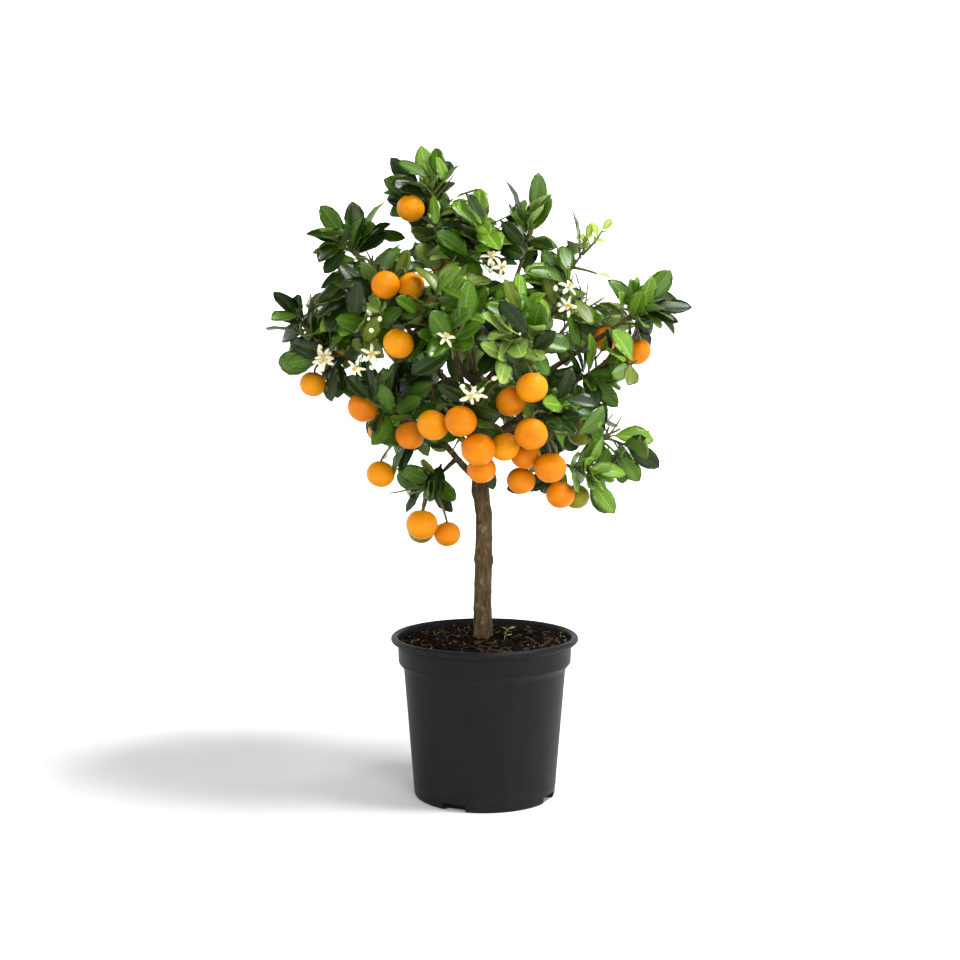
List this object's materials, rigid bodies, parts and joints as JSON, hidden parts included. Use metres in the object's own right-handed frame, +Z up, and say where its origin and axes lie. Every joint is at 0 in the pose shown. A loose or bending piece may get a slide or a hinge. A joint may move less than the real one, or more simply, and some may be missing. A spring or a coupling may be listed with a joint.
{
  "type": "potted citrus tree",
  "caption": "Calamondin orange tree with a rounded leafy crown, small orange fruit and white blossom on a clear stem, in a plain round nursery pot of dark plastic.",
  "frame": {"origin": "middle of the pot's flat underside, which is what the plant stands on", "axes": "+Z up along the pot's axis, -Y towards the side that the picture shows, +X to that picture's right"},
  "size_m": [0.4196, 0.3444, 0.649],
  "materials": {
    "pot_plastic": "smooth moulded, slightly satin",
    "soil": "moist crumbly peat with bits of bark",
    "bark": "fine rough bark",
    "foliage": "glossy leaves"
  },
  "bodies": {
    "root": {"pot": "pot_plastic", "soil": "soil", "trunk": "bark", "bough_top": "bark", "bough_upper_left": "bark", "bough_upper_mid": "bark", "bough_upper_right": "bark", "bough_right_high": "bark", "bough_right_far": "bark", "bough_right_mid": "bark", "bough_right_inner": "bark", "bough_left_outer": "bark", "bough_left_inner": "bark", "bough_front_centre": "bark", "bough_front_right": "bark", "bough_low_centre": "bark", "bough_low_right": "bark", "bough_right_low": "bark", "bough_low_right_tip": "bark", "bough_low_left": "bark", "bough_hanging": "bark", "bough_back_top": "bark", "bough_back_left": "bark", "bough_back_right": "bark", "bough_back_centre": "bark", "bough_back_low_left": "bark", "bough_back_low_right": "bark", "foliage_top": "foliage", "foliage_upper_left": "foliage", "foliage_upper_mid": "foliage", "foliage_upper_right": "foliage", "foliage_right_high": "foliage", "foliage_right_far": "foliage", "foliage_right_mid": "foliage", "foliage_right_inner": "foliage", "foliage_left_outer": "foliage", "foliage_left_inner": "foliage", "foliage_front_centre": "foliage", "foliage_front_right": "foliage", "foliage_low_centre": "foliage", "foliage_low_right": "foliage", "foliage_right_low": "foliage", "foliage_low_right_tip": "foliage", "foliage_low_left": "foliage", "foliage_hanging": "foliage", "foliage_back_top": "foliage", "foliage_back_left": "foliage", "foliage_back_right": "foliage", "foliage_back_centre": "foliage", "foliage_back_low_left": "foliage", "foliage_back_low_right": "foliage", "foliage_heart": "foliage"}
  },
  "joints": []
}
